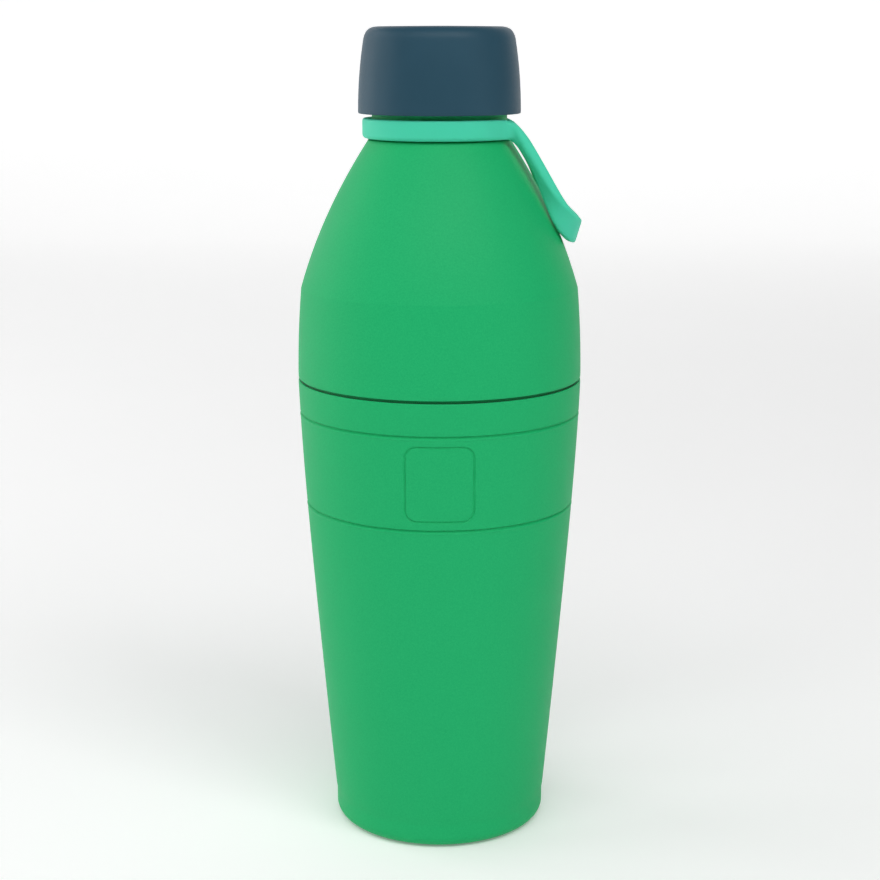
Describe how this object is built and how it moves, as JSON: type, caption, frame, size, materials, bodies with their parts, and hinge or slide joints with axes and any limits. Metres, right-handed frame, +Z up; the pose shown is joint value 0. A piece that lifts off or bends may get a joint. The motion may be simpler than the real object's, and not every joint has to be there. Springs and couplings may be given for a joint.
{
  "type": "insulated drinking bottle",
  "caption": "Slim double-wall insulated drinking bottle: a tapered cup screws to a sloping bottle top with a screw cap and a silicone carry loop.",
  "frame": {"origin": "centre of the base, on the surface the bottle stands on", "axes": "+Z up along the bottle's axis, +X towards the carry loop"},
  "size_m": [0.0818, 0.0818, 0.2336],
  "materials": {
    "green_powder_coat": "matt powder coat with a fine grain",
    "brushed_steel": "brushed stainless steel",
    "copper_foil": "bright copper foil",
    "dark_plastic": "matt moulded polypropylene",
    "pale_plastic": "satin moulded polypropylene",
    "mint_silicone": "matt moulded silicone",
    "dark_silicone": "matt moulded silicone",
    "foam": "closed-cell foam"
  },
  "bodies": {
    "cup": {"cup_outer_shell": "green_powder_coat", "cup_inner_liner": "brushed_steel", "cup_base_plate": "brushed_steel", "cup_base_pad": "dark_silicone", "cup_heat_shield": "copper_foil", "cup_getter": "brushed_steel", "cup_vacuum_seal": "brushed_steel"},
    "joint_seal": {"joint_seal": "dark_silicone"},
    "bottle_top": {"top_outer_shell": "green_powder_coat", "top_inner_liner": "brushed_steel", "top_floor_ring": "brushed_steel", "top_heat_shield": "copper_foil", "top_getter": "brushed_steel", "top_vacuum_seal": "brushed_steel", "screw_collar": "pale_plastic", "spout": "pale_plastic", "spout_seal": "dark_silicone"},
    "cap_seal": {"cap_seal": "dark_silicone"},
    "cap": {"cap_shell": "dark_plastic", "cap_liner": "pale_plastic", "cap_insulation": "foam"},
    "strap_ring": {"strap_ring": "mint_silicone"},
    "strap_loop": {"strap_loop": "mint_silicone"}
  },
  "joints": [
    {"name": "top_lift", "type": "slide", "parent": "cup", "child": "joint_seal", "axis": [0, 0, 1], "range_m": [0, 0.0361]},
    {"name": "top_turn", "type": "hinge", "parent": "joint_seal", "child": "bottle_top", "pos_m": [0, 0, 0.1344], "axis": [0, 0, 1], "range_deg": [0, 1440]},
    {"name": "cap_lift", "type": "slide", "parent": "bottle_top", "child": "cap_seal", "axis": [0, 0, 1], "range_m": [0, 0.0321]},
    {"name": "cap_turn", "type": "hinge", "parent": "cap_seal", "child": "cap", "pos_m": [0, 0, 0.2263], "axis": [0, 0, 1], "range_deg": [0, 1440]},
    {"name": "strap_swivel", "type": "hinge", "parent": "bottle_top", "child": "strap_ring", "pos_m": [0, 0, 0.2052], "axis": [0, 0, 1], "continuous": true},
    {"name": "loop_lift", "type": "hinge", "parent": "strap_ring", "child": "strap_loop", "pos_m": [0.022, 0, 0.2048], "axis": [0, -1, 0], "range_deg": [0, 70]}
  ],
  "couplings": [
    {"joint": "top_lift", "follows": "top_turn", "m_per_rad": 0.0014324},
    {"joint": "cap_lift", "follows": "cap_turn", "m_per_rad": 0.0012732}
  ]
}
